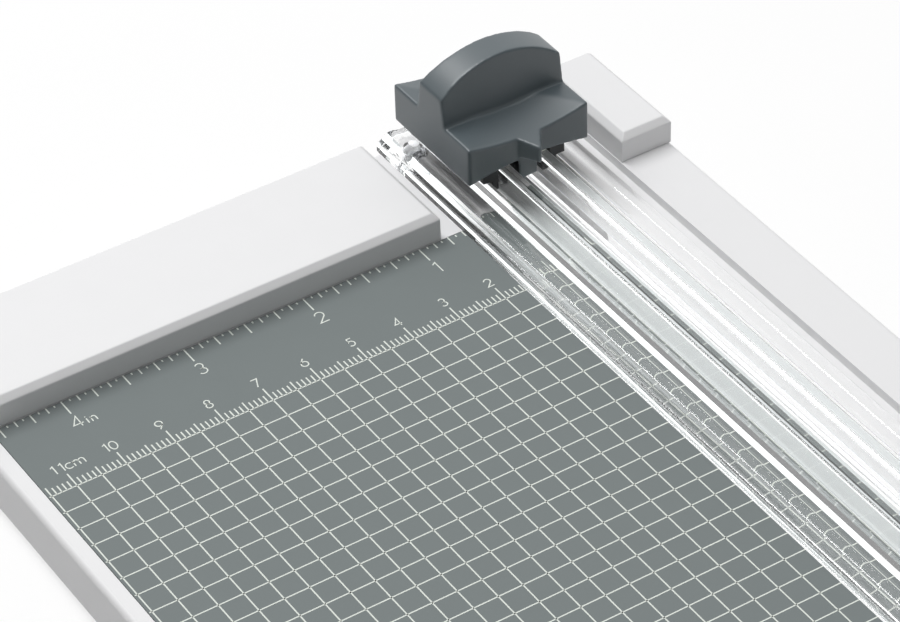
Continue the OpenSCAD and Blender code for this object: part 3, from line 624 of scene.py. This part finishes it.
def ruled_tree():
    """Node tree that adds a row of equal bars, leaving out every nth."""
    tree = bpy.data.node_groups.new("ruled_bars", "GeometryNodeTree")
    for name, kind in RULED_INPUTS.items():
        tree.interface.new_socket(name, in_out="INPUT", socket_type="NodeSocket" + kind)
    tree.interface.new_socket("Geometry", in_out="OUTPUT", socket_type="NodeSocketGeometry")
    nodes, link = tree.nodes, tree.links.new
    given = nodes.new("NodeGroupInput").outputs
    row = nodes.new("GeometryNodeMeshLine")
    bar = nodes.new("GeometryNodeMeshCube")
    index = nodes.new("GeometryNodeInputIndex")
    rest = nodes.new("ShaderNodeMath")
    rest.operation = "MODULO"
    place = nodes.new("GeometryNodeInstanceOnPoints")
    real = nodes.new("GeometryNodeRealizeInstances")
    both = nodes.new("GeometryNodeJoinGeometry")
    ink = nodes.new("GeometryNodeSetMaterial")
    out = nodes.new("NodeGroupOutput")
    link(given["Count"], row.inputs["Count"])
    link(given["First place"], row.inputs["Start Location"])
    link(given["Step"], row.inputs["Offset"])
    link(given["Bar size"], bar.inputs["Size"])
    link(index.outputs[0], rest.inputs[0])
    link(given["Left out"], rest.inputs[1])
    link(row.outputs["Mesh"], place.inputs["Points"])
    link(bar.outputs["Mesh"], place.inputs["Instance"])
    link(rest.outputs[0], place.inputs["Selection"])
    link(given["Geometry"], both.inputs[0])
    link(place.outputs[0], both.inputs[0])
    link(both.outputs[0], real.inputs[0])
    link(real.outputs[0], ink.inputs["Geometry"])
    link(given["Ink"], ink.inputs["Material"])
    link(ink.outputs[0], out.inputs[0])
    return tree


RULED = ruled_tree()


def ruled(name, rows):
    """Piece made of rows of bars: first middle, step, size, count and which bars are left out."""
    carrier = add_object(name + "_rows", bpy.data.meshes.new(name))
    sockets = {s.name: s.identifier for s in RULED.interface.items_tree if s.in_out == "INPUT"}
    for number, (first, step, size, count, left_out) in enumerate(rows):
        modifier = carrier.modifiers.new(f"row{number}", "NODES")
        modifier.node_group = RULED
        modifier[sockets["First place"]] = spot(*first)
        modifier[sockets["Step"]] = Vector(step) * MM
        modifier[sockets["Bar size"]] = Vector(size) * MM
        modifier[sockets["Count"]] = count
        modifier[sockets["Left out"]] = left_out
        modifier[sockets["Ink"]] = FINISHES["print_ink"]
    new_piece(name, plain_mesh(carrier), "print_ink", "base")


# What is left out is every nth place from the first on, so a large n leaves out the first alone
FIRST_ALONE = 1000
LINE_W = 0.27
GRID = 5
GRID_LEFT = -115
GRID_PAST = 0.5


def printed_grid():
    """Square grid from the base line of the scale to the plate's near end."""
    lines_x = int(-GRID_LEFT / GRID)
    y_near = PLATE_LOW.y + GRID
    lines_y = int((SCALE_Y - y_near) / GRID)
    y_end = SCALE_Y - lines_y * GRID
    x_left = GRID_LEFT - GRID_PAST
    x_right = PLATE_HIGH.x
    # The lines across include the base line, and their first place above it, which stays empty
    places_across = lines_y + 2
    across = (x_right - x_left, LINE_W, INK)
    along = (LINE_W, SCALE_Y - y_end, INK)
    first_along = (-GRID, (SCALE_Y + y_end) / 2, INK / 2)
    first_across = ((x_left + x_right) / 2, SCALE_Y + GRID, INK / 2)
    ruled("printed_grid", [
        (first_along, (-GRID, 0, 0), along, lines_x, FIRST_ALONE),
        (first_across, (0, -GRID, 0), across, places_across, FIRST_ALONE),
    ])


TICK_W = 0.28
# Centimetre ticks: first place, step, length, number of places and which have no tick
CM_TICKS = (
    (-5, 1, 1.95, 111, 5),
    (0, 5, 2.55, 24, 2),
    (0, 10, 3.7, 12, FIRST_ALONE),
)
# Inch ticks: the same, with the place of their upper ends after the step
INCH_TICKS = (
    (-INCH / 4, INCH / 16, -0.35, 0.55, 69, 2),
    (-INCH / 4, INCH / 8, -0.1, 1.6, 35, 2),
    (0, INCH / 4, -0.1, 2.5, 19, 2),
    (0, INCH / 2, -0.1, 3.0, 10, 2),
    (0, INCH, -0.1, 3.9, 5, FIRST_ALONE),
)


def tick_row(first, step, middle, length, count, left_out):
    return (first, middle, INK / 2), (-step, 0, 0), (TICK_W, length, INK), count, left_out


def printed_ticks():
    """Centimetre ticks on the base line and inch ticks that hang from the fence."""
    rows = []
    for first, step, length, count, left_out in CM_TICKS:
        rows.append(tick_row(first, step, SCALE_Y + length / 2, length, count, left_out))
    for first, step, top, length, count, left_out in INCH_TICKS:
        rows.append(tick_row(first, step, top - length / 2, length, count, left_out))
    ruled("printed_ticks", rows)


# Figures drawn as strokes, in shares of the figure's height

STROKE_W = 0.24
SAME_PLACE = 0.01
LEAST_MITRE = 0.35
FIGURE_GAP = 0.24
WIDE_GAP = 0.45
IN_GAP = 0.4


def arc(x, y, rx, ry, start, end, steps=18):
    turns = [math.radians(start + (end - start) * step / steps) for step in range(steps + 1)]
    return [(x + rx * math.cos(turn), y + ry * math.sin(turn)) for turn in turns]


SIX = [(0.47, 1.0)] + arc(0.31, 0.31, 0.31, 0.31, 146, 506)
# Each figure's width and its strokes
FIGURES = {
    "0": (0.64, [arc(0.32, 0.5, 0.32, 0.5, 90, 450)]),
    "1": (0.26, [[(0.0, 0.84), (0.24, 1.0), (0.24, 0.0)]]),
    "2": (0.58, [arc(0.29, 0.71, 0.29, 0.29, 165, -38) + [(0.0, 0.0), (0.6, 0.0)]]),
    "3": (0.56, [arc(0.27, 0.75, 0.24, 0.25, 150, -90) + arc(0.27, 0.26, 0.28, 0.26, 90, -150)[1:]]),
    "4": (0.64, [[(0.66, 0.26), (0.0, 0.26), (0.48, 1.0), (0.48, 0.0)]]),
    "5": (0.56, [[(0.52, 1.0), (0.14, 1.0), (0.08, 0.55)] + arc(0.26, 0.32, 0.3, 0.32, 125, -140)]),
    "6": (0.62, [SIX]),
    "7": (0.58, [[(0.0, 1.0), (0.58, 1.0), (0.17, 0.0)]]),
    "8": (0.58, [arc(0.29, 0.76, 0.23, 0.24, -90, 270) + arc(0.29, 0.26, 0.29, 0.26, 90, 450)[1:]]),
    "9": (0.62, [[(0.62 - x, 1 - y) for x, y in SIX]]),
    "c": (0.52, [arc(0.33, 0.34, 0.33, 0.34, 48, 312)]),
    "m": (0.92, [[(0.0, 0.0), (0.0, 0.68)], arc(0.23, 0.43, 0.23, 0.25, 180, 0) + [(0.46, 0.0)],
                 arc(0.69, 0.43, 0.23, 0.25, 180, 0) + [(0.92, 0.0)]]),
    "i": (0.0, [[(0.0, 0.0), (0.0, 0.67)], [(0.0, 0.86), (0.0, 0.97)]]),
    "n": (0.46, [[(0.0, 0.0), (0.0, 0.68)], arc(0.23, 0.43, 0.23, 0.25, 180, 0) + [(0.46, 0.0)]]),
}


def add_stroke(work, points):
    """Adds a thin raised ribbon along a line of points on the plate, in millimetres."""
    points = [Vector(point) for point in points]
    closed = (points[0] - points[-1]).length < SAME_PLACE
    rings = []
    for number, point in enumerate(points):
        before = points[number - 1] if number else (points[-2] if closed else None)
        after = points[number + 1] if number < len(points) - 1 else (points[1] if closed else None)
        back = (point - before).normalized() if before is not None else None
        ahead = (after - point).normalized() if after is not None else None
        onward = ahead or back
        way = ((back or ahead) + onward).normalized()
        across = Vector((-way.y, way.x))
        mitre = abs(across.dot(Vector((-onward.y, onward.x))))
        reach = across * (STROKE_W / 2 / max(LEAST_MITRE, mitre))
        left, right = point + reach, point - reach
        corners = ((left, 0), (right, 0), (right, INK), (left, INK))
        rings.append([work.verts.new(spot(place.x, place.y, z)) for place, z in corners])
    skin(work, rings, capped=not closed)


def write_figures(work, text, middle_x, base_y, height, gap_share=FIGURE_GAP):
    """Writes figures centred on a place, upright for someone at the near side."""
    gap = gap_share * height
    total = sum(FIGURES[sign][0] * height for sign in text) + gap * (len(text) - 1)
    x = middle_x - total / 2
    for sign in text:
        figure_w, strokes = FIGURES[sign]
        for stroke in strokes:
            add_stroke(work, [(x + px * height, base_y + py * height) for px, py in stroke])
        x += figure_w * height + gap


CM_BASE = SCALE_Y + 4.6
CM_HEIGHT = 2.2
CM_SHIFT = -0.15
CM_LAST_X = -110.8
CM_WORD_X = -107.45
INCH_BASE = SCALE_Y + 13.4
INCH_HEIGHT = 3.0
INCH_LAST_X = -101.86
INCH_WORD_X = -99.2
INCH_WORD_HEIGHT = 2.0


def printed_figures():
    work = bmesh.new()
    for centimetre in range(2, 11):
        write_figures(work, str(centimetre), -10 * centimetre + CM_SHIFT, CM_BASE, CM_HEIGHT)
    write_figures(work, "11", CM_LAST_X, CM_BASE, CM_HEIGHT, WIDE_GAP)
    write_figures(work, "cm", CM_WORD_X, CM_BASE, CM_HEIGHT)
    for inch in range(1, 4):
        write_figures(work, str(inch), -INCH * inch, INCH_BASE, INCH_HEIGHT)
    write_figures(work, "4", INCH_LAST_X, INCH_BASE, INCH_HEIGHT)
    write_figures(work, "in", INCH_WORD_X, INCH_BASE, INCH_WORD_HEIGHT, IN_GAP)
    new_piece("printed_figures", closed_mesh("printed_figures", work), "print_ink", "base")


printed_grid()
printed_ticks()
printed_figures()


# Floor, lamp, world and camera, in metres

FLOOR_REACH = 3.0
FLOOR_DROP = 0.0002
FLOOR_SHOWN = 0.8
FLOOR_UNSEEN = (0.7, 0.7, 0.7, 1)
FLOOR_PALE = (0.95, 0.95, 0.95, 1)
FLOOR_CLOUD_MM = 60
PURE_WHITE = (1, 1, 1, 1)
AMBIENT = 0.56
BACKDROP_WAY = (0.45, 0.74, 0.5)
DOME = {"From Min": 0.5, "From Max": 0.9, "To Min": 0.4, "To Max": 1.35}
LAMP_WAY = Vector((-0.08, 0.34, 0.93)).normalized()
LAMP_DISTANCE = 1.1
LAMP_WIDTH = 0.22
LAMP_LENGTH = 1.1
LAMP_POWER = 9.3


def floor():
    """Floor that shows as white, while the light it throws back is that of a pale grey one."""
    finish = Finish(bpy.data.materials.new("floor"))
    seen = finish.ray("Is Camera Ray")
    for kind in ("Is Glossy Ray", "Is Transmission Ray"):
        seen = finish.math("MAXIMUM", seen, finish.ray(kind))
    pale = finish.blend(finish.noise(FLOOR_CLOUD_MM), FLOOR_PALE, PURE_WHITE)
    matt = finish.node("ShaderNodeBsdfDiffuse", {}, {"Color": finish.blend(seen, FLOOR_UNSEEN, pale)})
    glow = finish.node("ShaderNodeEmission", {}, {"Color": PURE_WHITE, "Strength": 1.0})
    mesh = bpy.data.meshes.new("floor")
    corners = [(x * FLOOR_REACH, y * FLOOR_REACH, 0) for x, y in ((-1, -1), (1, -1), (1, 1), (-1, 1))]
    mesh.from_pydata(corners, [], [(0, 1, 2, 3)])
    mesh.materials.append(finish.finish_with(finish.mixed(seen * FLOOR_SHOWN, matt, glow)))
    plane = add_object("floor", mesh)
    plane.location.z = -FLOOR_DROP


def strip_lamp():
    light = bpy.data.lights.new("strip_lamp", "AREA")
    light.shape = "RECTANGLE"
    light.size = LAMP_WIDTH
    light.size_y = LAMP_LENGTH
    light.energy = LAMP_POWER
    holder = add_object("strip_lamp", light)
    holder.location = LAMP_WAY * LAMP_DISTANCE
    holder.rotation_euler = LAMP_WAY.to_track_quat("Z", "Y").to_euler()
    holder.visible_transmission = False


def studio_world():
    """White behind the object; mirrored it is dim, except at the back on the right and overhead."""
    sky = Finish(bpy.data.worlds.new("studio"), "ShaderNodeOutputWorld")
    way = sky.node("ShaderNodeTexCoord", output="Generated")
    facing = sky.node(
        "ShaderNodeVectorMath", {"operation": "DOT_PRODUCT"}, {0: way, 1: BACKDROP_WAY}, "Value",
    )
    dome = sky.node("ShaderNodeMapRange", {"interpolation_type": "SMOOTHSTEP"}, {"Value": facing, **DOME})
    mirrored = sky.math("MAXIMUM", sky.ray("Is Glossy Ray"), sky.ray("Is Transmission Ray"))
    strength = dome * AMBIENT
    for share, shown in ((mirrored, dome), (sky.ray("Is Camera Ray"), 1.0)):
        strength = sky.node("ShaderNodeMix", {}, {"Factor": share, 2: strength, 3: shown})
    bpy.context.scene.world = sky.finish_with(sky.node("ShaderNodeBackground", {}, {"Strength": strength}))


# Camera found from the printed scales: turned, raised and rolled by these angles
CAMERA_TURN = math.radians(-31.954)
CAMERA_RISE = math.radians(39.535)
CAMERA_ROLL = math.radians(-1.8226)
CAMERA_PLACE = Vector((-0.2842, -0.33696, 0.47539))
CAMERA_LENS = 158.96


def camera():
    data = bpy.data.cameras.new("camera")
    data.lens = CAMERA_LENS
    data.sensor_width = 36
    data.clip_start = 0.01
    turn, rise, roll = CAMERA_TURN, CAMERA_RISE, CAMERA_ROLL
    right = Vector((math.cos(turn), math.sin(turn), 0))
    back = Vector((math.sin(turn) * math.cos(rise), -math.cos(turn) * math.cos(rise), math.sin(rise)))
    up = back.cross(right)
    across = math.cos(roll) * right + math.sin(roll) * up
    upward = -math.sin(roll) * right + math.cos(roll) * up
    turned = Matrix((across, upward, back)).transposed().to_4x4()
    holder = add_object("camera", data)
    holder.matrix_world = Matrix.Translation(CAMERA_PLACE) @ turned
    bpy.context.scene.camera = holder


floor()
strip_lamp()
studio_world()
camera()
bpy.context.scene.view_settings.view_transform = "Standard"
bpy.context.scene.cycles.caustics_refractive = False
bpy.context.scene.cycles.caustics_reflective = False
bpy.context.view_layer.update()
